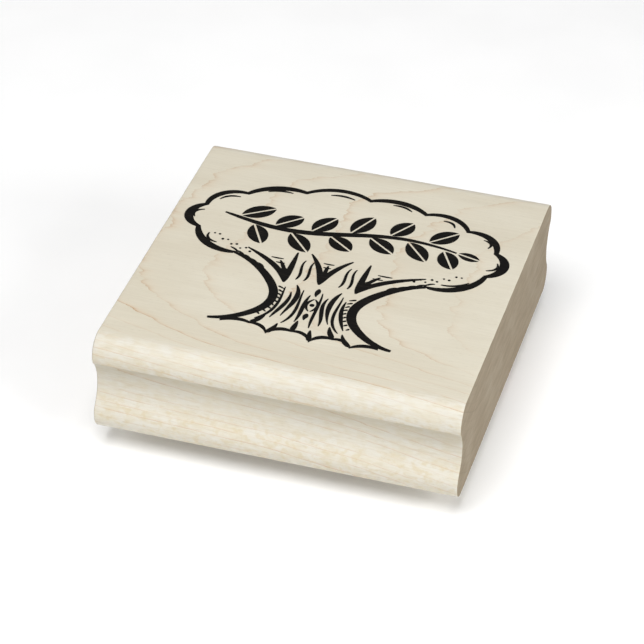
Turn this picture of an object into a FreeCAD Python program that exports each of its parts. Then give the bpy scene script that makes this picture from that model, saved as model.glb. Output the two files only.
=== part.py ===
"""Wood-mounted rubber stamp: a moulded maple block with finger coves, a picture printed on its top, and a
foam cushion with an engraved rubber die under it. Millimetres, +Z up, with the block's moulding along X.
The origin is under the middle of the block, on the surface that the die's printing face stands on."""

import FreeCAD, Part
import math
import os

from FreeCAD import Vector

# ---- Driving dimensions -------------------------------------------------------------------------------

# Block: a length of moulded board, 3 1/2 in wide and just under 1 in thick
block_length = 84.4  # along the grain, between the two saw cuts
block_depth = 88.9  # over the beads, front to back
block_height = 25.1
bead_radius = 4.6  # upper bead, tangent to the top face
bead_turn = 22.0  # degrees that it turns in under its widest line, as far as the cove's upper edge
cove_depth = 2.8  # how far the finger cove goes in behind the beads
cove_level = 12.5  # height of the cove's deepest line above the underside
foot_level = 4.2  # height of the lower bead's widest line
foot_edge_radius = 2.7  # round from the lower bead to the underside
arris_radius = 0.35  # sanded edge round each saw cut

# Layers below the block, from the printing face up
relief_height = 1.0  # engraved depth of the rubber
sheet_thickness = 1.3  # rubber left behind the relief
film_thickness = 0.13  # each double-sided adhesive film
cushion_thickness = 3.0  # closed-cell foam

# Picture: printed on the block, engraved in the rubber at a slightly smaller size
print_side_margin = 2.6  # bare wood left at each end of the block
print_edge_margin = 3.0  # least bare wood in front of and behind the picture, on the flat of the top
print_thickness = 0.06  # cured ink film
picture_shift = 1.0  # the picture's middle lies this far behind the block's
die_side_margin = 5.0  # from the picture in the rubber to each end of the block
die_edge_margin = 4.0  # least distance from it to the round edges of the underside
trim_margin = 1.7  # rubber and foam left around the picture when they are trimmed
shoulder_width = 0.2  # how much wider a relief line is at its root, on each side
shoulder_height = 0.5
hair = 0.003  # step by which touching lines are grown until they join
most_hairs = 4

# ---- Heights and scales that follow -------------------------------------------------------------------

sheet_z = relief_height
die_film_z = sheet_z + sheet_thickness
cushion_z = die_film_z + film_thickness
block_film_z = cushion_z + cushion_thickness
block_z = block_film_z + film_thickness
print_z = block_z + block_height

picture_width = 79.0  # size over the crown and the roots at which the picture's lines are drawn
picture_height = 63.0
print_scale = min(
    (block_length - 2 * print_side_margin) / picture_width,
    (block_depth - 2 * (bead_radius + print_edge_margin)) / picture_height,
)
die_scale = min(
    (block_length - 2 * die_side_margin) / picture_width,
    (block_depth - 2 * (foot_level + die_edge_margin)) / picture_height,
)


# ---- Curves and faces in the plane of the picture -----------------------------------------------------


def flat(x, y):
    """A point of the picture's plane."""
    return Vector(x, y, 0)


def polar(centre, radius, degrees):
    angle = math.radians(degrees)
    return centre + flat(radius * math.cos(angle), radius * math.sin(angle))


def spline(points, closed=False):
    curve = Part.BSplineCurve()
    curve.interpolate(points, PeriodicFlag=closed)
    return curve


def edge_through(points):
    """A straight edge through two points, an arc through three, a spline through more."""
    if len(points) == 2:
        return Part.LineSegment(*points).toShape()
    if len(points) == 3:
        return Part.Arc(*points).toShape()
    return spline(points).toShape()


def side_normal(direction):
    """Unit vector to the left of a direction."""
    return flat(-direction.y, direction.x).normalize()


class Mark:
    """One inked shape of the picture: a function that gives its outline, grown by a distance all round."""

    def __init__(self, outline):
        self.outline = outline

    def wire(self, scale, grow):
        """The outline as a wire at a scale, grown by a distance in the final millimetres."""
        edges = self.outline(grow / scale)
        return Part.Wire([edge_through([p * scale for p in points]) for points in edges])


def brush_line(points, width, tip=0.16, heavy_at=0.5, samples=9):
    """A stroke along a smooth line, drawn out to a tip at both ends and widest part of the way along."""
    middle = spline([flat(*p) for p in points])
    first, last = middle.FirstParameter, middle.LastParameter
    swell = math.log(0.5) / math.log(heavy_at)

    def outline(grow):
        left, right = [], []
        for i in range(samples):
            share = i / (samples - 1)
            at = first + (last - first) * share
            direction = middle.tangent(at)[0]
            half = tip + (width / 2 - tip) * math.sin(math.pi * share**swell) ** 0.8 + grow
            point = middle.value(at) + direction * (grow * (2 * share - 1))
            left.append(point + side_normal(direction) * half)
            right.append(point - side_normal(direction) * half)
        return [left, [left[-1], right[-1]], right[::-1], [right[0], left[0]]]

    return Mark(outline)


def scalloped_line(cusps, bulges, widths, cusp_width):
    """A thick line made of arcs that meet in cusps. Each arc bulges to the right of its run."""
    ends = [flat(*p) for p in cusps]
    count = len(ends) - 1
    outward = []
    for i in range(count + 1):
        run = ends[min(i + 1, count)] - ends[max(i - 1, 0)]
        outward.append(side_normal(run) * -1)

    def arcs(side, grow):
        found = []
        for i in range(count):
            chord = ends[i + 1] - ends[i]
            away = side_normal(chord) * -1
            middle = (ends[i] + ends[i + 1]) * 0.5 + away * bulges[i]
            offset = side * (cusp_width / 2 + grow)
            found.append(
                [
                    ends[i] + outward[i] * offset,
                    middle + away * (side * (widths[i] / 2 + grow)),
                    ends[i + 1] + outward[i + 1] * offset,
                ]
            )
        return found

    def outline(grow):
        outer, inner = arcs(1, grow), arcs(-1, grow)
        back = [points[::-1] for points in inner[::-1]]
        return [*outer, [outer[-1][-1], back[0][0]], *back, [back[-1][-1], outer[0][0]]]

    return Mark(outline)


def leaf_half(base, degrees, length, width, vein, side):
    """Half a pointed leaf, on one side of its vein."""
    root = flat(*base)

    def outline(grow):
        along = polar(flat(0, 0), 1, degrees)
        across = side_normal(along) * side
        heel = root + along * (0.04 * length - grow) + across * (vein / 2 - grow)
        tip = root + along * (length + grow) + across * (vein / 2 - grow)
        belly = root + along * (0.45 * length) + across * (width / 2 + grow)
        return [[heel, belly, tip], [tip, heel]]

    return Mark(outline)


def dot(centre, radius):
    """A round speck of ink."""
    middle = flat(*centre)

    def outline(grow):
        size = radius + grow
        east, north = polar(middle, size, 0), polar(middle, size, 90)
        west, south = polar(middle, size, 180), polar(middle, size, 270)
        return [[east, north, west], [west, south, east]]

    return Mark(outline)


# ---- The picture: a broad tree with a leafy sprig across its crown ------------------------------------

crown_middle = flat(0, 11.0)
crown_reach = (36.2, 17.2)  # half width and half height of the ellipse that the cusps lie on
crown_cusps = (-51, -17, 16, 43, 65, 88, 113, 139, 167, 199, 231)  # degrees round it
crown_bulges = (2.9, 3.1, 2.6, 2.5, 2.2, 2.7, 2.1, 2.6, 3.2, 2.7)
crown_widths = (1.9, 2.3, 1.8, 1.5, 1.7, 1.4, 1.8, 1.6, 2.2, 2.0)
crown_cusp_width = 1.2

trunk_neck = -16.4  # height of the trunk's narrowest place
trunk_half_neck = 8.6
trunk_flare = 0.05  # how fast it widens above and below the neck
ground = -28.6  # height of the roots' tips
knot = (0.2, -17.2)
knot_size = 0.95

sprig_level = 12.6
sprig_rise = 2.4
sprig_wave = 9.0


def on_ellipse(degrees, share=1.0):
    angle = math.radians(degrees)
    return (
        crown_middle.x + share * crown_reach[0] * math.cos(angle),
        crown_middle.y + share * crown_reach[1] * math.sin(angle),
    )


def on_trunk(across, height, sway=0.0):
    """A point of the trunk: across runs from -1 at its left side to 1 at its right."""
    return (across * (trunk_half_neck + trunk_flare * (height - trunk_neck) ** 2) + sway, height)


def crown():
    """The bold outline, and a short echo line inside each of its lobes."""
    cusps = [on_ellipse(a) for a in crown_cusps]
    marks = [scalloped_line(cusps, crown_bulges, crown_widths, crown_cusp_width)]
    for i, (start, end) in enumerate(zip(crown_cusps, crown_cusps[1:])):
        reach = 0.97 - 0.015 * (i % 2)
        echo = []
        for share, lift in ((0.24, 0), (0.42, 0.05), (0.62, 0.04)):
            echo.append(on_ellipse(start + (end - start) * share, reach + lift))
        marks.append(brush_line(echo, 0.7, tip=0.13))
    return marks


def trunk_sides():
    """The two bold outlines of the trunk, from a root's tip up to the crown's outline."""
    left_top, right_top = on_ellipse(crown_cusps[-1]), on_ellipse(crown_cusps[0])
    left = [(-20.8, ground), (-13.4, -25.0), (-9.2, -18.0), (-12.0, -10.4), left_top]
    right = [(21.6, ground), (13.8, -24.8), (9.6, -17.6), (12.6, -9.8), right_top]
    return [brush_line(left, 2.1, tip=0.4), brush_line(right, 2.3, tip=0.4)]


def fork(foot, left, right):
    """Where two boughs part: a line up each of them, which rises and then flares out, a dark heart low
    between the two, and short hatching across the gap above it."""

    def up(side, share):
        flare = 0.3 * share + 0.7 * share**2.2
        return foot[0] + (side[0] - foot[0]) * flare, foot[1] + (side[1] - foot[1]) * share

    marks = []
    for side in (left, right):
        line = [up(side, share) for share in (0, 0.3, 0.55, 0.8, 1)]
        marks.append(brush_line(line, 1.5, tip=0.18, heavy_at=0.35))
    for low, middle, high, width in ((0.08, 0.34, 0.52, 2.0), (0.3, 0.5, 0.7, 1.0)):
        heart = []
        for height in (low, middle, high):
            (x1, y1), (x2, y2) = up(left, height), up(right, height)
            heart.append(((x1 + x2) / 2, (y1 + y2) / 2))
        marks.append(brush_line(heart, width, tip=0.15, heavy_at=0.45))
    for height in (0.66, 0.8):
        (x1, y1), (x2, y2) = up(left, height), up(right, height)
        hatch = []
        for across in (0.3, 0.5, 0.68):
            hatch.append((x1 + (x2 - x1) * across, (y1 + y2) / 2 - 0.5 * math.sin(math.pi * across)))
        marks.append(brush_line(hatch, 0.5, tip=0.12))
    return marks


def boughs():
    """The three forks, and the grain and hatching on the boughs between them."""
    marks = []
    marks += fork((-8.6, -10.4), (-20.5, 0.6), (-8.8, 2.0))
    marks += fork((-0.7, -9.0), (-5.6, 2.4), (4.4, 2.2))
    marks += fork((8.2, -9.8), (8.6, 2.2), (22.0, 0.8))
    for x, lean in ((-6.3, 0.1), (-4.4, 0.2), (3.9, 0.4), (5.9, 0.1)):
        line = [(x, -8.6), (x + 0.6 * lean + 0.3, -6.0)]
        line += [(x + 1.4 * lean - 0.2, -3.2), (x + 2.2 * lean, -0.6)]
        marks.append(brush_line(line, 0.7, tip=0.12, heavy_at=0.4))
    for side in (-1, 1):
        for i in range(5):
            x = side * (14.6 + 1.9 * i)
            y = -6.2 + 1.05 * i
            line = [(x, y), (x + side * 0.9, y + 0.9), (x + side * 2.2, y + 1.5)]
            marks.append(brush_line(line, 0.55, tip=0.12))
    return marks


def bark():
    """Long lines that follow the trunk's waist, staggered in height, which leave room for the knot in the
    middle, and a ladder of short hatching on each side."""
    marks = []
    lines = 11
    for i in range(lines):
        across = -0.82 + 1.64 * i / (lines - 1)
        low = -25.8 + 1.3 * (i % 3)
        high = -10.6 - 1.5 * ((i + 1) % 3)
        spans = [(low, high)]
        if i == lines // 2:
            spans = [(low, knot[1] - 3.6 * knot_size), (knot[1] + 3.6 * knot_size, high)]
        for start, end in spans:
            points = []
            for k in range(4):
                height = start + (end - start) * k / 3
                sway = 0.022 * (end - start) * math.sin(2.4 * k + 1.7 * i)
                points.append(on_trunk(across, height, sway))
            marks.append(brush_line(points, 0.75 + 0.25 * (i % 3), tip=0.12, heavy_at=0.4 + 0.1 * (i % 3)))
    for side in (-1, 1):
        for i in range(9):
            height = -23.4 + 1.4 * i
            reach = 0.10 + 0.02 * (i % 3)
            points = []
            for share in (0, 0.5, 1):
                points.append(on_trunk(side * (0.97 - reach * share), height - 0.7 * share))
            marks.append(brush_line(points, 0.55, tip=0.1, heavy_at=0.3))
    return marks


def knot_marks():
    """The knot: two lids round a dark heart."""
    x, y = knot
    marks = [dot(knot, 0.6 * knot_size)]
    for side in (-1, 1):
        lid = [
            (x + side * 0.2 * knot_size, y - 2.6 * knot_size),
            (x + side * 1.35 * knot_size, y),
            (x + side * 0.1 * knot_size, y + 2.5 * knot_size),
        ]
        marks.append(brush_line(lid, 0.8 * knot_size, tip=0.12))
    return marks


def roots():
    """The ragged line that the trunk stands on: arcs between the roots' tips, and a wedge up each root."""
    tips = [(-17.8, -28.8), (-11.2, -27.8), (-6.6, -30.4), (-1.4, -28.1)]
    tips += [(3.4, -30.7), (8.2, -28.2), (12.6, -30.1), (18.8, -28.8)]
    lift = (-0.9, -1.0, -1.1, -1.2, -1.1, -1.0, -0.9)
    widths = (1.2, 1.0, 1.2, 1.0, 1.2, 1.0, 1.2)
    marks = [scalloped_line(tips, lift, widths, 0.7)]
    for x, y in tips[1:-1]:
        lean = 0.15 * x
        ridge = [(x, y + 0.2), (x - lean, y + 2.1), (x - 1.5 * lean, y + 4.2)]
        marks.append(brush_line(ridge, 1.3, tip=0.12, heavy_at=0.3))
    return marks


def sprig():
    """A leafy sprig that rises and falls across the crown."""

    def height(x):
        return sprig_level + sprig_rise * math.sin(x / sprig_wave)

    def slope(x):
        return math.degrees(math.atan(sprig_rise / sprig_wave * math.cos(x / sprig_wave)))

    def leaf(x, stalk, turn, length, width):
        foot = flat(x, height(x)) + polar(flat(0, 0), stalk, turn)
        return [leaf_half((foot.x, foot.y), turn, length, width, 0.5, side) for side in (1, -1)]

    stem = [(x, height(x)) for x in range(-30, 27, 7)]
    marks = [brush_line(stem, 1.7, tip=0.25, heavy_at=0.4, samples=21)]
    for i in range(12):
        x = -27.0 + 4.5 * i
        turn = slope(x) + (50 if i % 2 == 0 else -50)
        marks += leaf(x, 1.0, turn, 8.8 - 0.6 * (i % 3), 4.8)
    return marks + leaf(stem[-1][0], 0.3, slope(stem[-1][0]), 5.6, 3.0)


def stipple():
    """Rows of specks inside the lower edge of the crown, larger towards the trunk."""
    marks = []
    for side in (-1, 1):
        for i in range(9):
            x = side * (29.6 - 1.25 * i)
            y = 3.8 - 1.0 * i + 0.9 * (i % 2) + 0.05 * i**2
            marks.append(dot((x, y), 0.26 + 0.04 * (i % 3)))
    return marks


def picture():
    return [*crown(), *trunk_sides(), *boughs(), *bark(), *knot_marks(), *roots(), *sprig(), *stipple()]


# ---- Solids -------------------------------------------------------------------------------------------


def half_profile():
    """One end outline of the block from the middle of its top, round the front, to the middle of its
    underside, in Y and Z. The cove meets the upper bead in a crease and runs smoothly into the lower."""
    half = block_depth / 2
    bead_level = block_height - bead_radius
    tucked = math.radians(bead_turn)
    rise = bead_level - bead_radius * math.sin(tucked) - cove_level
    step = cove_depth - bead_radius * (1 - math.cos(tucked))
    drop = cove_level - foot_level
    cove_radius = (rise**2 + step**2) / (2 * step)
    foot_radius = (drop**2 + cove_depth**2) / (2 * cove_depth) - cove_radius
    edge_drop = foot_level - foot_edge_radius
    edge_reach = math.sqrt((foot_radius - foot_edge_radius) ** 2 - edge_drop**2)

    bead_centre = (half - bead_radius, bead_level)
    cove_centre = (half - cove_depth + cove_radius, cove_level)
    foot_centre = (half - foot_radius, foot_level)
    edge_centre = (half - foot_radius + edge_reach, foot_edge_radius)

    def at(centre, radius, degrees):
        angle = math.radians(degrees)
        return Vector(0, -(centre[0] + radius * math.cos(angle)), centre[1] + radius * math.sin(angle))

    def arc(centre, radius, start, end):
        return Part.Arc(*[at(centre, radius, start + (end - start) * k / 2) for k in range(3)]).toShape()

    upper = math.degrees(math.asin(rise / cove_radius))
    lower = math.degrees(math.atan2(drop, foot_radius + cove_radius - cove_depth))
    turn = math.degrees(math.atan2(edge_drop, edge_reach))
    return [
        Part.LineSegment(Vector(0, 0, block_height), at(bead_centre, bead_radius, 90)).toShape(),
        arc(bead_centre, bead_radius, 90, -bead_turn),
        arc(cove_centre, cove_radius, 180 - upper, 180 + lower),
        arc(foot_centre, foot_radius, lower, -turn),
        arc(edge_centre, foot_edge_radius, -turn, -90),
        Part.LineSegment(at(edge_centre, foot_edge_radius, -90), Vector(0, 0, 0)).toShape(),
    ]


def wood_block():
    front = Part.Wire(half_profile())
    back = front.mirror(Vector(0, 0, 0), Vector(0, 1, 0))
    outline = Part.Wire(Part.__sortEdges__([*front.Edges, *back.Edges]))
    outline.translate(Vector(-block_length / 2, 0, 0))
    block = Part.Face(outline).extrude(Vector(block_length, 0, 0))
    ends = [e for e in block.Edges if abs(e.BoundBox.XLength) < 1e-6]
    block = block.makeFillet(arris_radius, ends)
    block.translate(Vector(0, 0, block_z))
    return block


def raised(wire, z, height):
    """An upright solid inside a flat outline, from height z up."""
    solid = Part.Face(wire).extrude(Vector(0, 0, height))
    solid.translate(Vector(0, 0, z))
    return solid


def raised_picture(scale, grow, z, height):
    """The picture's marks as upright solids, their outlines grown by a distance. Marks that cross run
    together. Where two outlines only just touch the join can fail, and then all are grown by a hair."""
    for hairs in range(most_hairs):
        wires = [mark.wire(scale, grow + hairs * hair) for mark in picture()]
        solids = [raised(wire, z, height) for wire in wires]
        joined = solids[0].multiFuse(solids[1:]).removeSplitter()
        if joined.isValid():
            break
    joined.translate(Vector(0, picture_shift, 0))
    return joined


def index_print():
    """The picture in ink on the top face."""
    return raised_picture(print_scale, 0, print_z, print_thickness)


def trimmed_outline():
    """Where the rubber and the foam are cut: a smooth line round the crown and in to the roots."""
    reach = trim_margin / die_scale
    crown_half_width = picture_width / 2 + reach
    crown_top = crown_middle.y + crown_reach[1] + crown_bulges[5] + reach + 0.6
    crown_low = crown_middle.y - crown_reach[1] - reach
    root_half_width = 21.4 + reach
    root_low = -30.6 - reach
    right = [
        (0, root_low),
        (0.62 * root_half_width, root_low + 0.1),
        (root_half_width, root_low + 3.4),
        (0.83 * root_half_width, -19.0),
        (0.94 * root_half_width, crown_low - 1.6),
        (0.76 * crown_half_width, crown_low + 3.2),
        (0.965 * crown_half_width, 2.6),
        (crown_half_width, crown_middle.y + 0.6),
        (0.93 * crown_half_width, 21.6),
        (0.66 * crown_half_width, crown_top - 3.6),
        (0.30 * crown_half_width, crown_top - 0.5),
    ]
    left = [(-x, y) for x, y in right[:0:-1]]
    points = [flat(x, y) * die_scale for x, y in [*right, (0, crown_top), *left]]
    wire = Part.Wire([spline(points, closed=True).toShape()])
    wire.translate(Vector(0, picture_shift, 0))
    return wire


def trimmed_layer(z, thickness):
    return raised(trimmed_outline(), z, thickness)


def rubber_die():
    """One piece of rubber: a sheet, and under it the relief lines, each on a wider shoulder that the
    engraving leaves at its root."""
    line_height = relief_height - shoulder_height
    sheet = trimmed_layer(sheet_z, sheet_thickness)
    shoulders = raised_picture(die_scale, shoulder_width, line_height, shoulder_height)
    lines = raised_picture(die_scale, 0, 0, line_height)
    return sheet.multiFuse([shoulders, lines]).removeSplitter()


parts = {
    "wood_block": wood_block,
    "index_print": index_print,
    "block_adhesive": lambda: trimmed_layer(block_film_z, film_thickness),
    "foam_cushion": lambda: trimmed_layer(cushion_z, cushion_thickness),
    "die_adhesive": lambda: trimmed_layer(die_film_z, film_thickness),
    "rubber_die": rubber_die,
}

os.makedirs("parts", exist_ok=True)
for name, build in parts.items():
    shape = build()
    print(f"{name}: {len(shape.Solids)} solids, valid {shape.isValid()}, {shape.Volume:.1f} mm3")
    shape.exportStep(f"parts/{name}.step")
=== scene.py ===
"""Looks of a wood-mounted rubber stamp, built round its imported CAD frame.

A block of sanded maple moulding carries a printed picture on its top. Under it, a foam cushion and an
engraved rubber die are held by two adhesive films. Lengths in the classes are millimetres in the frame's own
axes: +Z up, X along the moulding, origin on the table under the middle of the block.
"""

import logging
import math
from dataclasses import dataclass, field
from enum import Enum
from typing import Any

import bmesh
import bpy
import numpy as np
from mathutils import Matrix, Vector, noise


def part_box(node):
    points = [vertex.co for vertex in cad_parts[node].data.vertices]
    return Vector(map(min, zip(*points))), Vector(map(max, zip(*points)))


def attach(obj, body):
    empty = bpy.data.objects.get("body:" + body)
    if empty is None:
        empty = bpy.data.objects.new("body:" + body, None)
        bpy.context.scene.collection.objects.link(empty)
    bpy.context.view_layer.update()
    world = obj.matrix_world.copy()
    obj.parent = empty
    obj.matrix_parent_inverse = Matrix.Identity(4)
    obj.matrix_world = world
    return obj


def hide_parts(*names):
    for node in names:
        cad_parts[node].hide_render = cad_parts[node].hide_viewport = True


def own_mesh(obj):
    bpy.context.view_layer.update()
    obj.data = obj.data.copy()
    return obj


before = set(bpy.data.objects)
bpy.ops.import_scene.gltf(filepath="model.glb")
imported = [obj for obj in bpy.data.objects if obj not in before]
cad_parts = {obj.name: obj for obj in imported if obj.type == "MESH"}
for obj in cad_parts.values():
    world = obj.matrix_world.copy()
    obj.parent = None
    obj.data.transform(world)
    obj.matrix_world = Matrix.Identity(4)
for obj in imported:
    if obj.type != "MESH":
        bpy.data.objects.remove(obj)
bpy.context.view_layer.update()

MM = 0.001
LOG = logging.getLogger("stamp")


# ---- Colour and nodes ---------------------------------------------------------------------------------


def srgb(code: str) -> tuple[float, float, float, float]:
    """Turns an sRGB hex colour into Blender's linear colour.

    Args:
        code: the colour as "#RRGGBB".

    Returns:
        Linear red, green and blue, and an alpha of 1.
    """
    values = [int(code[i : i + 2], 16) / 255 for i in (1, 3, 5)]
    linear = [v / 12.92 if v <= 0.04045 else ((v + 0.055) / 1.055) ** 2.4 for v in values]
    return (linear[0], linear[1], linear[2], 1.0)


def add_node(
    tree: bpy.types.NodeTree,
    kind: str,
    inputs: dict[int | str, Any] | None = None,
    **settings: Any,
) -> bpy.types.Node:
    """Adds a shader node with its settings and links.

    Args:
        tree: the material's node tree.
        kind: the node's type name without its "ShaderNode" prefix.
        inputs: what goes into each input, by index or name: an output, a node, which stands for its first
            output, or a plain value.
        **settings: properties of the node itself, such as operation.

    Returns:
        The new node.
    """
    made = tree.nodes.new("ShaderNode" + kind)
    for name, value in settings.items():
        setattr(made, name, value)
    for key, value in (inputs or {}).items():
        if isinstance(value, bpy.types.Node):
            value = value.outputs[0]
        if isinstance(value, bpy.types.NodeSocket):
            tree.links.new(value, made.inputs[key])
        else:
            made.inputs[key].default_value = value
    return made


@dataclass(frozen=True)
class Span:
    """How a value becomes a share: low up to start, high from end on, and smooth between them."""

    start: float
    end: float
    low: float = 0.0
    high: float = 1.0

    def share(self, tree: bpy.types.NodeTree, value: Any) -> bpy.types.Node:
        """Maps a shader value to its share."""
        given = {0: value, 1: self.start, 2: self.end, 3: self.low, 4: self.high}
        return add_node(tree, "MapRange", given, interpolation_type="SMOOTHSTEP")


@dataclass(frozen=True)
class Pattern:
    """A noise whose grains have a real size, and the span that turns it into a share."""

    grain: tuple[float, float, float]  # size of one grain along X, Y and Z, mm
    detail: float  # how many finer layers are added
    span: Span = Span(0.0, 1.0)
    fade: float = 0.55  # how much weaker each finer layer is

    def noise(self, tree: bpy.types.NodeTree, place: Any) -> bpy.types.Node:
        """Lays the noise itself: output 0 is its value, output 1 its colour."""
        per_mm = tuple(1 / size for size in self.grain)
        scaled = add_node(tree, "VectorMath", {0: place, 1: per_mm}, operation="MULTIPLY")
        return add_node(tree, "TexNoise", {0: scaled, 2: 1.0, 3: self.detail, 4: self.fade})

    def share(self, tree: bpy.types.NodeTree, place: Any) -> bpy.types.Node:
        """Lays the noise and turns it into its share."""
        return self.span.share(tree, self.noise(tree, place))


def lay_tints(tree: bpy.types.NodeTree, under: str, tints: list[tuple[str, tuple[Any, ...]]]) -> Any:
    """Lays tints over a colour, one after another.

    Args:
        tree: the material's node tree.
        under: the colour that they are laid over, in hex.
        tints: each tint in hex, and the shares whose product is how much of it is laid.

    Returns:
        The resulting colour's output.
    """
    colour = srgb(under)
    for code, (share, *more) in tints:
        for factor in more:
            share = add_node(tree, "Math", {0: share, 1: factor}, operation="MULTIPLY")
        colour = add_node(tree, "Mix", {0: share, 6: colour, 7: srgb(code)}, data_type="RGBA").outputs[2]
    return colour


def new_material(name: str) -> tuple[bpy.types.Material, bpy.types.Node, bpy.types.Node]:
    """Starts a material with a single shader.

    Args:
        name: the finish's name.

    Returns:
        The material, its shader, and the surface's position in the frame in millimetres, which moves with
        the piece.
    """
    material = bpy.data.materials.new(name)
    material.use_nodes = True
    tree = material.node_tree
    tree.nodes.clear()
    shader = add_node(tree, "BsdfPrincipled")
    add_node(tree, "OutputMaterial", {0: shader})
    found = add_node(tree, "TexCoord").outputs["Object"]
    place = add_node(tree, "VectorMath", {0: found, 1: (1 / MM, 1 / MM, 1 / MM)}, operation="MULTIPLY")
    return material, shader, place


def finish_shader(tree: bpy.types.NodeTree, shader: bpy.types.Node, given: dict[str, Any]) -> None:
    """Gives a shader its inputs by name: links where a pattern drives them, and constants elsewhere."""
    for name, value in given.items():
        if isinstance(value, bpy.types.Node):
            value = value.outputs[0]
        if isinstance(value, bpy.types.NodeSocket):
            tree.links.new(value, shader.inputs[name])
        else:
            shader.inputs[name].default_value = value


# ---- Finishes -----------------------------------------------------------------------------------------


@dataclass(frozen=True)
class MapleFinish:
    """Hard maple, moulded with a cutter, sanded and left bare. Seen close it is pale cream with thin tan
    growth lines, which arch across the flat-sawn top and run along the coves. Its sawn ends are darker."""

    name: str = "bare_sanded_maple"
    pale: str = "#D6D0BF"
    deep: str = "#CDC5B2"
    growth_line: str = "#A27E55"
    halo: str = "#D3B798"
    fleck: str = "#C6B488"
    ray: str = "#BBAD90"
    bloom: str = "#D6D3CA"
    # painted shade in the upper cove, under the bead
    cove_shade: str = "#A39A86"
    end_pale: str = "#998C77"
    end_deep: str = "#877963"
    vessel: str = "#786A56"
    roughness: float = 0.58
    end_roughness: float = 0.2  # more of it on the sawn ends
    ior: float = 1.45
    specular: float = 0.32
    relief_strength: float = 0.28
    relief_depth: float = 0.04  # mm
    fibre_relief: float = 0.6  # share of the relief that the fibres have, next to the ends' open vessels

    # Growth: each year's ring closes with a thin line, and the wood before it darkens towards it.
    ring_width: float = 2.2  # mm
    pith_height: float = 80.6  # the tree's middle lies this far over the table, mm
    pith_y: float = 6.0  # and this far behind the block's middle, mm
    pith_fall: float = 0.12  # it comes nearer towards +X by this share
    bow: float = 4.6  # how far a ring, flat in the middle, has curved towards the pith, mm
    bow_side: float = 40.0  # at this distance to the side, mm
    bow_power: float = 4.0
    wander: Pattern = Pattern((70.0, 26.0, 26.0), 1.5)
    wander_reach: tuple[float, float, float] = (0.0, 9.0, 2.6)  # mm
    feather: Pattern = Pattern((12.0, 2.6, 2.6), 4.0)
    feather_reach: float = 0.9  # mm
    line_fade: float = 15.0  # per mm before the line
    halo_fade: float = 5.0  # per mm before the line
    year_strength: Span = Span(0.1, 0.9, 0.25, 1.0)
    line_share: float = 0.9
    halo_share: float = 0.8
    end_line_share: float = 0.6

    # Faces along the grain. Fibres, flecks and pores are drawn coarser than real ones, to show.
    clouds: Pattern = Pattern((26.0, 9.0, 9.0), 3.0, Span(0.3, 0.7, 0.0, 0.6))
    year_tone: float = 0.4
    patches: Pattern = Pattern((3.4, 2.2, 2.2), 2.0, Span(0.36, 0.66, 0.0, 0.7))
    fibres: Pattern = Pattern((16.0, 0.34, 0.34), 3.0, Span(0.35, 0.62, 0.0, 0.07))
    pale_flecks: Pattern = Pattern((2.4, 0.42, 0.42), 2.0, Span(0.5, 0.72, 0.0, 0.5))
    dark_flecks: Pattern = Pattern((2.4, 0.42, 0.42), 2.0, Span(0.46, 0.26, 0.0, 0.28))
    top_flecks: float = 0.15  # share of them that shows on the flat top
    moulded_flecks: float = 0.75  # and how much more on the moulding
    breaks: Pattern = Pattern((7.0, 4.0, 4.0), 2.0, Span(0.34, 0.6, 0.3, 1.0))
    pores: Pattern = Pattern((1.5, 0.16, 0.16), 1.0, Span(0.66, 0.78, 0.0, 0.2))
    ray_spots: Pattern = Pattern((1.7, 1.2, 1.2), 2.0, Span(0.47, 0.7, 0.0, 0.4))

    # Where they show, by distance to the side of the middle and height over the table, mm.
    moulded_side: Span = Span(38.5, 42.0)
    ray_side: Span = Span(40.5, 43.0)
    ray_upper_from: Span = Span(20.5, 23.0)
    ray_upper_to: Span = Span(28.5, 26.0)
    ray_lower: Span = Span(17.0, 13.0)
    under_bead: Span = Span(24.42, 24.18)  # the crease between the bead and the cove, where the painted shade begins
    cove_shade_fade: Span = Span(16.3, 24.3, 0.0, 0.42)  # painted shade in the cove, darkest right under the bead

    # Sawn ends.
    end_facing: Span = Span(0.35, 0.8)  # of the surface's direction along X
    bands: Pattern = Pattern((30.0, 7.0, 1.3), 2.0, Span(0.3, 0.7, 0.2, 0.8))
    vessels: Pattern = Pattern((9.0, 0.28, 0.28), 2.0, Span(0.5, 0.72, 0.0, 0.22))
    end_clouds: Pattern = Pattern((26.0, 9.0, 9.0), 3.0, Span(0.4, 0.8, 0.0, 0.1))
    saw_marks: Pattern = Pattern((30.0, 0.5, 9.0), 1.0)

    def material(self) -> bpy.types.Material:
        """Builds the wood as a solid pattern cut by the block's faces."""
        material, shader, place = new_material(self.name)
        tree = material.node_tree
        line, halo, year = self._growth(tree, place)
        normal = add_node(tree, "SeparateXYZ", {0: add_node(tree, "NewGeometry").outputs["Normal"]})
        facing = add_node(tree, "Math", {0: normal}, operation="ABSOLUTE")
        across = self.end_facing.share(tree, facing)
        long_face = self._long_face(tree, place, line, halo, year)
        end_face, pits = self._end_face(tree, place, line, halo)
        colour = add_node(tree, "Mix", {0: across, 6: long_face, 7: end_face}, data_type="RGBA").outputs[2]
        fibres = self.fibres.noise(tree, place)
        fibres = add_node(tree, "Math", {0: fibres, 1: self.fibre_relief}, operation="MULTIPLY")
        relief = add_node(tree, "Math", {0: pits, 1: across, 2: fibres}, operation="MULTIPLY_ADD")
        depth = {"Strength": self.relief_strength, "Distance": self.relief_depth * MM, "Height": relief}
        dulled = {0: across, 1: self.end_roughness, 2: self.roughness}
        given = {
            "Base Color": colour,
            "Roughness": add_node(tree, "Math", dulled, operation="MULTIPLY_ADD"),
            "Normal": add_node(tree, "Bump", depth),
            "IOR": self.ior,
            "Specular IOR Level": self.specular,
        }
        finish_shader(tree, shader, given)
        return material

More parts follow.
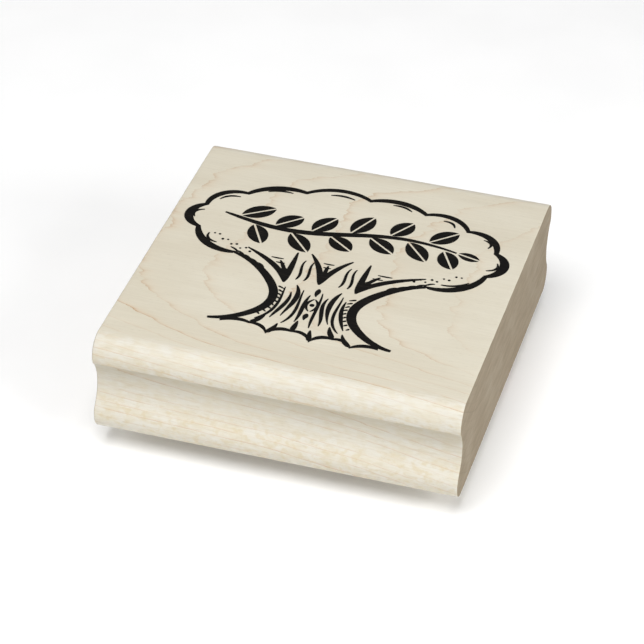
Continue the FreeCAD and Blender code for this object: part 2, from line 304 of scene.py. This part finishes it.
    def _growth(self, tree: bpy.types.NodeTree, place: Any) -> tuple[Any, Any, Any]:
        """Finds the growth lines.

        Args:
            tree: the material's node tree.
            place: the position in millimetres.

        Returns:
            How much of the thin line that closes a year is here, how much of the wood that darkens before it,
            both from 0 to 1, and a chance value of the year's own.
        """
        wander = self.wander.noise(tree, place).outputs[1]
        centred = add_node(tree, "VectorMath", {0: wander, 1: (0.5, 0.5, 0.5)}, operation="SUBTRACT")
        offset = add_node(tree, "VectorMath", {0: centred, 1: self.wander_reach}, operation="MULTIPLY")
        bent = add_node(tree, "VectorMath", {0: place, 1: offset}, operation="ADD")
        along, across, height = add_node(tree, "SeparateXYZ", {0: bent}).outputs
        side = add_node(tree, "Math", {0: across, 1: self.pith_y}, operation="SUBTRACT")
        side = add_node(tree, "Math", {0: side, 1: self.bow_side}, operation="DIVIDE")
        side = add_node(tree, "Math", {0: side}, operation="ABSOLUTE")
        curved = add_node(tree, "Math", {0: side, 1: self.bow_power}, operation="POWER")
        curved = add_node(tree, "Math", {0: curved, 1: self.bow}, operation="MULTIPLY")
        fall = {0: along, 1: -self.pith_fall, 2: self.pith_height}
        pith = add_node(tree, "Math", fall, operation="MULTIPLY_ADD")
        depth = add_node(tree, "Math", {0: pith, 1: height}, operation="SUBTRACT")
        radius = add_node(tree, "Math", {0: depth, 1: curved}, operation="ADD")
        feather = add_node(tree, "Math", {0: self.feather.noise(tree, place), 1: 0.5}, operation="SUBTRACT")
        ragged = {0: feather, 1: self.feather_reach, 2: radius}
        radius = add_node(tree, "Math", ragged, operation="MULTIPLY_ADD")
        years = add_node(tree, "Math", {0: radius, 1: self.ring_width}, operation="DIVIDE")
        grown = add_node(tree, "Math", {0: years}, operation="FRACT")
        left = add_node(tree, "Math", {0: 1.0, 1: grown}, operation="SUBTRACT")
        before = add_node(tree, "Math", {0: left, 1: self.ring_width}, operation="MULTIPLY")
        number = add_node(tree, "Math", {0: years}, operation="FLOOR")
        year = add_node(tree, "TexWhiteNoise", {1: number}, noise_dimensions="1D")
        strength = self.year_strength.share(tree, year)
        shown = []
        for fade in (self.line_fade, self.halo_fade):
            faded = add_node(tree, "Math", {0: before, 1: -fade}, operation="MULTIPLY")
            share = add_node(tree, "Math", {0: faded}, operation="EXPONENT")
            shown.append(add_node(tree, "Math", {0: share, 1: strength}, operation="MULTIPLY"))
        return shown[0], shown[1], year

    def _long_face(self, tree: bpy.types.NodeTree, place: Any, line: Any, halo: Any, year: Any) -> Any:
        """Colours the faces along the grain.

        Args:
            tree: the material's node tree.
            place: the position in millimetres.
            line: how much of a year's closing line is here.
            halo: how much of the wood before that line is here.
            year: the year's chance value.

        Returns:
            The colour's output.
        """
        clouds = self.clouds.share(tree, place)
        tone = add_node(tree, "Math", {0: year, 1: self.year_tone, 2: clouds}, operation="MULTIPLY_ADD")
        across, height = add_node(tree, "SeparateXYZ", {0: place}).outputs[1:]
        side = add_node(tree, "Math", {0: across}, operation="ABSOLUTE")
        moulded = self.moulded_side.share(tree, side)
        flecked = {0: moulded, 1: self.moulded_flecks, 2: self.top_flecks}
        flecked = add_node(tree, "Math", flecked, operation="MULTIPLY_ADD")
        breaks = self.breaks.share(tree, place)
        under_bead = self.under_bead.share(tree, height)
        tints = [
            (self.deep, (tone,)),
            (self.bloom, (self.patches.share(tree, place), moulded)),
            (self.end_pale, (self.fibres.share(tree, place),)),
            (self.bloom, (self.pale_flecks.share(tree, place), flecked)),
            (self.ray, (self.dark_flecks.share(tree, place), flecked)),
            (self.halo, (halo, breaks, self.halo_share)),
            (self.growth_line, (line, breaks, self.line_share)),
            (self.end_deep, (self.pores.share(tree, place),)),
            (self.fleck, (self.ray_spots.share(tree, place), self._ray_share(tree, side, height))),
            # painted shade: the cove darkened right under the bead's crease
            (self.cove_shade, (self.cove_shade_fade.share(tree, height), under_bead, moulded)),
        ]
        return lay_tints(tree, self.pale, tints)

    def _ray_share(self, tree: bpy.types.NodeTree, side: Any, height: Any) -> Any:
        """Where the moulded edges cut along the rays, from 0 to 1: on the beads, and not on the flat top."""
        above = self.ray_upper_from.share(tree, height)
        below = self.ray_upper_to.share(tree, height)
        upper = add_node(tree, "Math", {0: above, 1: below}, operation="MULTIPLY")
        beads = add_node(tree, "Math", {0: upper, 1: self.ray_lower.share(tree, height)}, operation="MAXIMUM")
        edge = self.ray_side.share(tree, side)
        return add_node(tree, "Math", {0: edge, 1: beads}, operation="MULTIPLY")

    def _end_face(self, tree: bpy.types.NodeTree, place: Any, line: Any, halo: Any) -> tuple[Any, Any]:
        """Colours the sawn ends: bands, growth lines and open vessels.

        Args:
            tree: the material's node tree.
            place: the position in millimetres.
            line: how much of a year's closing line is here.
            halo: how much of the wood before that line is here.

        Returns:
            The colour's output, and the relief of saw marks and vessels.
        """
        late = add_node(tree, "Math", {0: line, 1: halo}, operation="MAXIMUM")
        tints = [
            (self.end_deep, (self.bands.share(tree, place),)),
            (self.vessel, (late, self.end_line_share)),
            (self.vessel, (self.vessels.share(tree, place),)),
            (self.pale, (self.end_clouds.share(tree, place),)),
        ]
        colour = lay_tints(tree, self.end_pale, tints)
        open_wood = {0: self.vessels.noise(tree, place), 1: self.saw_marks.noise(tree, place)}
        return colour, add_node(tree, "Math", open_wood, operation="ADD")


@dataclass(frozen=True)
class InkFinish:
    """Black index ink pressed on bare wood: dull and dense, thinner where the fibres stand up."""

    name: str = "black_index_ink"
    dense: str = "#0B0A09"
    thin: str = "#29241D"
    roughness: float = 0.75
    specular: float = 0.14
    relief_strength: float = 0.3
    relief_depth: float = 0.03  # mm
    fibres: Pattern = Pattern((3.2, 0.22, 0.22), 3.0, Span(0.5, 0.72))
    clouds: Pattern = Pattern((7.0, 4.0, 4.0), 2.0, Span(0.4, 0.7, 0.35, 1.0))

    def material(self) -> bpy.types.Material:
        """Builds the ink with its thin places drawn out along the grain."""
        material, shader, place = new_material(self.name)
        tree = material.node_tree
        starved = (self.fibres.share(tree, place), self.clouds.share(tree, place))
        height = self.fibres.noise(tree, place)
        depth = {"Strength": self.relief_strength, "Distance": self.relief_depth * MM, "Height": height}
        given = {
            "Base Color": lay_tints(tree, self.dense, [(self.thin, starved)]),
            "Normal": add_node(tree, "Bump", depth),
            "Roughness": self.roughness,
            "Specular IOR Level": self.specular,
        }
        finish_shader(tree, shader, given)
        return material


@dataclass(frozen=True)
class RubberFinish:
    """Vulcanised red stamp rubber, engraved by laser: smooth on the printing face, powdery and finely lined
    in the cleared ground."""

    name: str = "engraved_red_rubber"
    face: str = "#8A3A31"
    ground: str = "#A4574A"
    scorched: str = "#5F2720"
    roughness: float = 0.55
    ground_roughness: float = 0.28  # more of it in the cleared ground
    ior: float = 1.52
    relief_strength: float = 0.6
    relief_depth: float = 0.06  # mm
    cleared: Span = Span(0.1, 0.95)  # height over the printing face, mm
    dust: Pattern = Pattern((1.2, 1.2, 1.2), 3.0, Span(0.3, 0.7, 0.6, 1.0))
    # The laser's lines, drawn coarser than the real 0.1 mm, to show.
    lines: Pattern = Pattern((14.0, 0.3, 0.3), 1.0, Span(0.4, 0.7, 0.0, 0.25))

    def material(self) -> bpy.types.Material:
        """Builds the rubber, with its ground told apart from its face by height."""
        material, shader, place = new_material(self.name)
        tree = material.node_tree
        height = add_node(tree, "SeparateXYZ", {0: place}).outputs[2]
        cleared = self.cleared.share(tree, height)
        tints = [
            (self.ground, (cleared, self.dust.share(tree, place))),
            (self.scorched, (cleared, self.lines.share(tree, place))),
        ]
        rough = {0: self.lines.noise(tree, place), 1: self.dust.noise(tree, place)}
        rough = add_node(tree, "Math", rough, operation="ADD")
        relief = add_node(tree, "Math", {0: cleared, 1: rough}, operation="MULTIPLY")
        depth = {"Strength": self.relief_strength, "Distance": self.relief_depth * MM, "Height": relief}
        dulled = {0: cleared, 1: self.ground_roughness, 2: self.roughness}
        given = {
            "Base Color": lay_tints(tree, self.face, tints),
            "Roughness": add_node(tree, "Math", dulled, operation="MULTIPLY_ADD"),
            "Normal": add_node(tree, "Bump", depth),
            "IOR": self.ior,
        }
        finish_shader(tree, shader, given)
        return material


@dataclass(frozen=True)
class FoamFinish:
    """Closed-cell polyethylene foam cut with a blade: pale, matt, with its opened cells as small pits,
    darkened with painted shade.
    """

    name: str = "cut_closed_cell_foam"
    skin: str = "#CFCDC6"
    # painted shade in the opened cells
    pit_shade: str = "#9C9A93"
    cell: float = 0.35  # mm
    roughness: float = 0.85
    pits: Span = Span(0.5, 0.1)
    pit_share: float = 0.6
    relief_strength: float = 0.7
    relief_depth: float = 0.1  # mm

    def material(self) -> bpy.types.Material:
        """Builds the foam with round cells."""
        material, shader, place = new_material(self.name)
        tree = material.node_tree
        scaled = {0: place, 1: (self.cell, self.cell, self.cell)}
        scaled = add_node(tree, "VectorMath", scaled, operation="DIVIDE")
        cells = add_node(tree, "TexVoronoi", {0: scaled, 2: 1.0})
        depth = {"Strength": self.relief_strength, "Distance": self.relief_depth * MM, "Height": cells}
        pitted = (self.pits.share(tree, cells), self.pit_share)
        given = {
            "Base Color": lay_tints(tree, self.skin, [(self.pit_shade, pitted)]),
            "Normal": add_node(tree, "Bump", depth),
            "Roughness": self.roughness,
        }
        finish_shader(tree, shader, given)
        return material


@dataclass(frozen=True)
class FilmFinish:
    """Double-sided acrylic film: pale yellow, glossy at its cut edge, with a few trapped bubbles."""

    name: str = "acrylic_adhesive_film"
    clear: str = "#D9D3BD"
    bubble: str = "#EDE9DA"
    bubbles_per_mm: float = 0.28
    bubble_edge: Span = Span(0.24, 0.1)
    shine: Span = Span(0.0, 1.0, 0.22, 0.5)  # roughness from the clear film to a bubble

    def material(self) -> bpy.types.Material:
        """Builds the film with its bubbles."""
        material, shader, place = new_material(self.name)
        tree = material.node_tree
        cells = add_node(tree, "TexVoronoi", {0: place, 2: self.bubbles_per_mm})
        bubbles = self.bubble_edge.share(tree, cells)
        given = {
            "Base Color": lay_tints(tree, self.clear, [(self.bubble, (bubbles,))]),
            "Roughness": self.shine.share(tree, bubbles),
        }
        finish_shader(tree, shader, given)
        return material


@dataclass(frozen=True)
class BoardFinish:
    """Matt white laminate under the stamp, lit so that it stays almost white under the block."""

    name: str = "white_table"
    colour: str = "#F4F4F4"
    white: str = "#FFFFFF"
    mottle: Pattern = Pattern((40.0, 40.0, 40.0), 2.0, Span(0.3, 0.7, 0.0, 0.3))
    roughness: float = 0.9
    glow: float = 0.08

    def material(self) -> bpy.types.Material:
        """Builds the table's surface."""
        material, shader, place = new_material(self.name)
        tree = material.node_tree
        given = {
            "Base Color": lay_tints(tree, self.colour, [(self.white, (self.mottle.share(tree, place),))]),
            "Roughness": self.roughness,
            "Specular IOR Level": 0.0,
            "Emission Color": srgb(self.white),
            "Emission Strength": self.glow,
        }
        finish_shader(tree, shader, given)
        return material


# ---- Meshes -------------------------------------------------------------------------------------------


class Shading(Enum):
    """How a piece's faces take light."""

    SMOOTH = True
    FLAT = False


def piece_from(name: str, build: bmesh.types.BMesh) -> bpy.types.Object:
    """Turns a finished mesh into a piece of the object.

    Args:
        name: the piece's name.
        build: the mesh, in metres in the frame, which is used up.

    Returns:
        The new object, linked to the scene.
    """
    mesh = bpy.data.meshes.new(name)
    build.to_mesh(mesh)
    build.free()
    made = bpy.data.objects.new(name, mesh)
    bpy.context.scene.collection.objects.link(made)
    return made


def dress(piece: bpy.types.Object, material: bpy.types.Material) -> None:
    """Gives a piece one material in place of any that it has."""
    piece.data.materials.clear()
    piece.data.materials.append(material)


def loft(rings: list[np.ndarray], shading: Shading = Shading.SMOOTH) -> bmesh.types.BMesh:
    """Skins a closed solid over a row of closed rings and closes both ends flat.

    Args:
        rings: points of each ring in millimetres, all with as many points, wound the same way.
        shading: how the skin takes light. The ends are flat.

    Returns:
        The mesh in metres.
    """
    build = bmesh.new()
    rows = [[build.verts.new(Vector(p) * MM) for p in ring] for ring in rings]
    count = len(rows[0])
    for low, high in zip(rows, rows[1:]):
        for i in range(count):
            k = (i + 1) % count
            face = build.faces.new((low[i], low[k], high[k], high[i]))
            face.smooth = shading.value
    for cap in (rows[0][::-1], rows[-1]):
        build.faces.new(cap).smooth = Shading.FLAT.value
    bmesh.ops.recalc_face_normals(build, faces=build.faces)
    return build


@dataclass
class MapleBlock:
    """The block: moulding with a bead, a finger cove and a lower bead along its front and back."""

    length: float
    depth: float
    height: float
    bottom: float
    bead_radius: float = 4.6
    bead_turn: float = 22.0  # degrees that the bead turns in before it meets the cove
    cove_depth: float = 2.8
    cove_level: float = 12.5
    foot_level: float = 4.2
    foot_edge_radius: float = 2.7
    arris: float = 0.32  # sanded edge round each saw cut
    arris_play: float = 0.14  # how unevenly it is sanded
    arris_turns: tuple[float, ...] = (0.0, 22.5, 45.0, 67.5)  # degrees round it at which it has a ring
    wear_per_mm: float = 0.35  # how fast its wear changes along the edge
    wear_start: float = 7.3  # where in the noise each end takes its wear from
    chord: float = 0.28  # longest facet round the moulding's section
    flat_points: int = 44  # across the flat top and the flat underside
    stations: int = 61  # rings along the block between its arrises
    finish: MapleFinish = field(default_factory=MapleFinish)

    @classmethod
    def from_frame(cls) -> "MapleBlock":
        """Takes the overall sizes from the CAD block."""
        low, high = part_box("wood_block")
        size = (high - low) / MM
        return cls(length=size.x, depth=size.y, height=size.z, bottom=low.z / MM)

    def front_outline(self) -> tuple[np.ndarray, np.ndarray]:
        """Traces the front half of the section, from the flat top down to the flat underside.

        Returns:
            The points and their outward directions, both as rows of Y and Z in millimetres.
        """
        half = self.depth / 2
        bead_level = self.height - self.bead_radius
        tucked = math.radians(self.bead_turn)
        rise = bead_level - self.bead_radius * math.sin(tucked) - self.cove_level
        step = self.cove_depth - self.bead_radius * (1 - math.cos(tucked))
        drop = self.cove_level - self.foot_level
        cove = (rise**2 + step**2) / (2 * step)
        foot = (drop**2 + self.cove_depth**2) / (2 * self.cove_depth) - cove
        under = self.foot_level - self.foot_edge_radius
        reach = math.sqrt((foot - self.foot_edge_radius) ** 2 - under**2)
        upper = math.asin(rise / cove)
        lower = math.atan2(drop, foot + cove - self.cove_depth)
        turn = math.atan2(under, reach)
        arcs = [
            (half - self.bead_radius, bead_level, self.bead_radius, math.pi / 2, -tucked, 1),
            (half - self.cove_depth + cove, self.cove_level, cove, math.pi - upper, math.pi + lower, -1),
            (half - foot, self.foot_level, foot, lower, -turn, 1),
            (half - foot + reach, self.foot_edge_radius, self.foot_edge_radius, -turn, -math.pi / 2, 1),
        ]
        points, outward = [], []
        for number, (across, level, radius, start, end, bulge) in enumerate(arcs):
            steps = math.ceil(abs(radius * (end - start)) / self.chord)
            angles = np.linspace(start, end, steps + 1)[1 if number else 0 :]
            spokes = np.column_stack([np.cos(angles), np.sin(angles)])
            points.append(np.array([across, level]) + radius * spokes)
            outward.append(bulge * spokes)
        forward = np.array([-1.0, 1.0])
        return np.vstack(points) * forward, np.vstack(outward) * forward

    def section(self) -> tuple[np.ndarray, np.ndarray]:
        """Closes the section: the front, the flat underside, the back and the flat top."""
        line, normals = self.front_outline()
        flip = np.array([-1.0, 1.0])
        flat_y = np.linspace(line[-1, 0], -line[-1, 0], self.flat_points + 2)[1:-1]
        underside = np.column_stack([flat_y, np.zeros_like(flat_y)])
        down = np.tile([0.0, -1.0], (len(flat_y), 1))
        top_y = np.linspace(-line[0, 0], line[0, 0], self.flat_points + 2)[1:-1]
        top = np.column_stack([top_y, np.full_like(top_y, self.height)])
        up = np.tile([0.0, 1.0], (len(top_y), 1))
        loop = np.vstack([line, underside, line[::-1] * flip, top])
        facing = np.vstack([normals, down, normals[::-1] * flip, up])
        return loop, facing

    def ring(self, loop: np.ndarray, facing: np.ndarray, x: float, sunk: np.ndarray | float) -> np.ndarray:
        """Places the section at one station.

        Args:
            loop: the section's points.
            facing: their outward directions.
            x: the station along the block.
            sunk: how far each point lies inside the full section.

        Returns:
            Points in the frame, in millimetres.
        """
        flat = loop - facing * np.reshape(sunk, (-1, 1))
        return np.column_stack([np.full(len(flat), x), flat[:, 0], flat[:, 1] + self.bottom])

    def arris_rings(
        self, loop: np.ndarray, facing: np.ndarray, end: int, turns: np.ndarray
    ) -> list[np.ndarray]:
        """Rounds the edge of one saw cut, a little unevenly.

        Args:
            loop: the section's points.
            facing: their outward directions.
            end: -1 for the left end and 1 for the right.
            turns: how far round the edge each ring lies, in radians from the saw cut, in the rings' order.

        Returns:
            The rings.
        """
        rate = self.wear_per_mm
        shares = [noise.noise(Vector((end * self.wear_start, y * rate, z * rate))) for y, z in loop]
        worn = self.arris + self.arris_play * np.array(shares)
        rings = []
        for turn in turns:
            ring = self.ring(loop, facing, 0.0, worn * (1 - math.sin(turn)))
            ring[:, 0] = end * (self.length / 2 - worn * (1 - math.cos(turn)))
            rings.append(ring)
        return rings

    def build(self) -> bpy.types.Object:
        """Builds the block from ring to ring, with its arrises."""
        loop, facing = self.section()
        half = self.length / 2
        widest = self.arris + self.arris_play
        turns = np.radians(self.arris_turns)
        rings = self.arris_rings(loop, facing, -1, turns)
        for x in np.linspace(-half + widest, half - widest, self.stations):
            rings.append(self.ring(loop, facing, x, 0.0))
        rings += self.arris_rings(loop, facing, 1, turns[::-1])
        block = piece_from("maple_block", loft(rings))
        dress(block, self.finish.material())
        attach(block, "mount")
        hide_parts("wood_block")
        return block


@dataclass
class PrintedPicture:
    """The picture on the top face, in index ink."""

    finish: InkFinish = field(default_factory=InkFinish)

    def build(self) -> bpy.types.Object:
        """Inks the CAD picture."""
        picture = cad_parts["index_print"]
        dress(picture, self.finish.material())
        return picture


@dataclass
class CushionStack:
    """What is glued under the block: film, foam, film and engraved rubber, trimmed together."""

    waist: float = 0.12  # how far the foam's cut side draws in at its middle, mm
    ripple: float = 0.05  # unevenness of the hand-held blade, mm
    spacing: float = 0.8  # of points round the outline, mm
    layers: int = 9
    ripple_per_mm: float = 0.6  # how fast the ripple changes round the outline
    ripple_up_per_mm: float = 1.4  # and up the cut
    level_slack: float = 0.01  # how far from the foam's underside a point of its rim may lie, mm
    pressed: float = 0.7  # share of the foam's thickness left at the end of a press
    film: FilmFinish = field(default_factory=FilmFinish)
    foam: FoamFinish = field(default_factory=FoamFinish)
    rubber: RubberFinish = field(default_factory=RubberFinish)

    def outline(self) -> np.ndarray:
        """Reads the trimmed outline from the CAD foam and spaces its points evenly.

        Returns:
            Points in order, as rows of X and Y in millimetres.
        """
        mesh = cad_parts["foam_cushion"].data
        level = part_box("foam_cushion")[0].z
        rim = set()
        for x, y, z in (v.co for v in mesh.vertices):
            if abs(z - level) < self.level_slack * MM:
                rim.add((round(x / MM, 3), round(y / MM, 3)))
        return self.even(self.chain(np.array(sorted(rim))))

    def chain(self, points: np.ndarray) -> np.ndarray:
        """Puts rim points in order by walking to the nearest one left.

        Args:
            points: the rim's points in any order.

        Returns:
            The same points in order round the rim.
        """
        left = list(range(1, len(points)))
        order = [0]
        while left:
            gaps = np.linalg.norm(points[left] - points[order[-1]], axis=1)
            order.append(left.pop(int(gaps.argmin())))
        return points[order]

    def even(self, rim: np.ndarray) -> np.ndarray:
        """Spaces points evenly along a closed rim."""
        closed = np.vstack([rim, rim[:1]])
        run = np.concatenate([[0.0], np.cumsum(np.linalg.norm(np.diff(closed, axis=0), axis=1))])
        at = np.linspace(0.0, run[-1], round(run[-1] / self.spacing), endpoint=False)
        return np.column_stack([np.interp(at, run, closed[:, k]) for k in (0, 1)])

    def build_foam(self) -> bpy.types.Object:
        """Builds the foam with a cut side that draws in a little between its skins."""
        rim = self.outline()
        ahead = np.roll(rim, -1, axis=0) - np.roll(rim, 1, axis=0)
        inward = np.column_stack([-ahead[:, 1], ahead[:, 0]]) / np.linalg.norm(ahead, axis=1)[:, None]
        turned = np.cross(rim, np.roll(rim, -1, axis=0)).sum()
        inward *= 1.0 if turned > 0 else -1.0
        low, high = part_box("foam_cushion")
        rings = []
        for share in np.linspace(0.0, 1.0, self.layers):
            height = (low.z + (high.z - low.z) * share) / MM
            drawn = self.waist * math.sin(math.pi * share)
            sideways, up = self.ripple_per_mm, height * self.ripple_up_per_mm
            rough = [noise.noise(Vector((x * sideways, y * sideways, up))) for x, y in rim]
            sunk = drawn + self.ripple * (1 + np.array(rough))
            moved = rim + inward * sunk[:, None]
            rings.append(np.column_stack([moved, np.full(len(moved), height)]))
        cushion = piece_from("cushion_foam", loft(rings))
        dress(cushion, self.foam.material())
        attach(cushion, "mount")
        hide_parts("foam_cushion")
        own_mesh(cushion)
        return cushion

    def build(self) -> list[bpy.types.Object]:
        """Builds the foam and dresses the films and the rubber."""
        made = [self.build_foam()]
        film = self.film.material()
        for name in ("block_adhesive", "die_adhesive"):
            dress(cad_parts[name], film)
            made.append(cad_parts[name])
        dress(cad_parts["rubber_die"], self.rubber.material())
        made.append(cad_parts["rubber_die"])
        return made


# ---- Studio -------------------------------------------------------------------------------------------


@dataclass(frozen=True)
class SoftBox:
    """A square soft light that faces the stamp."""

    name: str
    azimuth: float  # degrees round from the front towards the right
    elevation: float
    distance: float  # m
    side: float  # m
    power: float  # W
    colour: str = "#FFFFFF"

    def place(self, target: Vector) -> None:
        """Hangs the light and turns it to its target."""
        light = bpy.data.lights.new(self.name, "AREA")
        light.size = self.side
        light.energy = self.power
        light.color = srgb(self.colour)[:3]
        made = bpy.data.objects.new(self.name, light)
        bpy.context.scene.collection.objects.link(made)
        around, up = math.radians(self.azimuth), math.radians(self.elevation)
        away = Vector((math.sin(around) * math.cos(up), -math.cos(around) * math.cos(up), math.sin(up)))
        made.location = target + away * self.distance
        made.rotation_mode = "QUATERNION"
        made.rotation_quaternion = (-away).to_track_quat("-Z", "Y")


@dataclass(frozen=True)
class Studio:
    """A plain white table, soft lights and the camera."""

    camera_place: tuple[float, float, float] = (139.35, -507.67, 391.72)  # mm
    camera_ahead: tuple[float, float, float] = (-0.21793, 0.78343, -0.58202)
    camera_up: tuple[float, float, float] = (-0.18183, 0.55331, 0.81288)
    focal_share: float = 4.316  # focal length over the picture's width
    sensor: float = 36.0  # mm
    clip: tuple[float, float] = (0.05, 10.0)  # nearest and farthest that it sees, m
    sky: float = 0.2
    table_side: float = 6.0  # m
    aim_height: float = 0.015  # of the point that every light faces, m
    lights: tuple[SoftBox, ...] = (
        SoftBox("high_front", -5.0, 62.0, 0.9, 0.45, 5.0),
        SoftBox("right_fill", 70.0, 25.0, 0.9, 0.45, 4.2),
        SoftBox("left_fill", -65.0, 35.0, 0.9, 0.45, 1.4),
        SoftBox("overhead", 0.0, 88.0, 0.9, 0.45, 1.3),
    )

    def build(self) -> None:
        """Sets the table, the lights, the sky and the camera."""
        scene = bpy.context.scene
        scene.view_settings.view_transform = "Standard"
        self._table()
        for light in self.lights:
            light.place(Vector((0.0, 0.0, self.aim_height)))
        world = bpy.data.worlds.new("white_tent")
        scene.world = world
        world.use_nodes = True
        background = world.node_tree.nodes["Background"]
        background.inputs[0].default_value = (1.0, 1.0, 1.0, 1.0)
        background.inputs[1].default_value = self.sky
        self._camera()

    def _table(self) -> None:
        """Lays the table under the stamp."""
        build = bmesh.new()
        bmesh.ops.create_grid(build, x_segments=8, y_segments=8, size=self.table_side / 2)
        table = piece_from("table", build)
        dress(table, BoardFinish().material())

    def _camera(self) -> None:
        """Aims the camera."""
        lens = bpy.data.cameras.new("camera")
        lens.sensor_width = self.sensor
        lens.lens = self.focal_share * self.sensor
        lens.clip_start, lens.clip_end = self.clip
        camera = bpy.data.objects.new("camera", lens)
        bpy.context.scene.collection.objects.link(camera)
        back = -Vector(self.camera_ahead).normalized()
        right = Vector(self.camera_up).cross(back).normalized()
        up = back.cross(right)
        turn = Matrix((right, up, back)).transposed().to_4x4()
        camera.matrix_world = Matrix.Translation(Vector(self.camera_place) * MM) @ turn
        bpy.context.scene.camera = camera


def main() -> None:
    """Builds the stamp and its studio, and reports each piece."""
    logging.basicConfig(level=logging.INFO, format="%(name)s: %(message)s")
    Studio().build()
    made = [MapleBlock.from_frame().build(), PrintedPicture().build(), *CushionStack().build()]
    for piece in made:
        LOG.info("%s: %d faces, %s", piece.name, len(piece.data.polygons), piece.data.materials[0].name)


if __name__ == "__main__":
    main()
